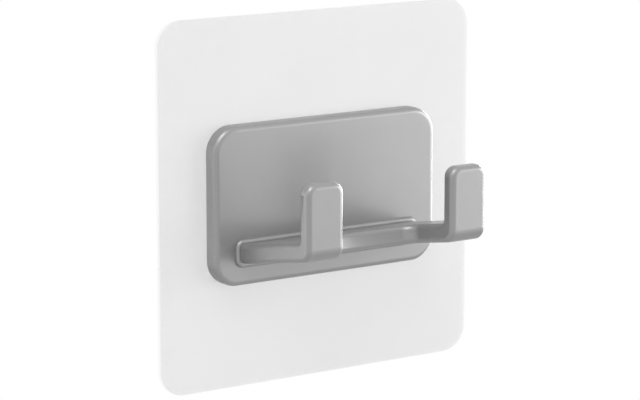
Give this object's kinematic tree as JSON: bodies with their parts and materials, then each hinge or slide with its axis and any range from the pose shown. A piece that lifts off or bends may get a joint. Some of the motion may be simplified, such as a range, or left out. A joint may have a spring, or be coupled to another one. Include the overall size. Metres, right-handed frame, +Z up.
{
  "type": "adhesive wall hook",
  "caption": "Metal hook with upturned prongs on a small base plate, bonded to a clear square self-adhesive pad for a smooth wall.",
  "frame": {"origin": "centre of the pad's adhesive face, on the wall", "axes": "+X along the wall to the viewer's right, +Y into the wall, +Z up; the prongs reach towards -Y"},
  "size_m": [0.07, 0.0272, 0.07],
  "materials": {
    "clear_adhesive": "clear, soft and slightly cloudy",
    "clear_film": "clear satin film",
    "white_tape": "matte white foam tape",
    "satin_aluminium": "bead-blasted satin silver",
    "screw_steel": "plain steel"
  },
  "bodies": {
    "root": {"pad_adhesive": "clear_adhesive", "pad_film": "clear_film", "bonding_tape": "white_tape", "base_plate": "satin_aluminium", "hook_screws": "screw_steel", "hook_bracket": "satin_aluminium"}
  },
  "joints": []
}
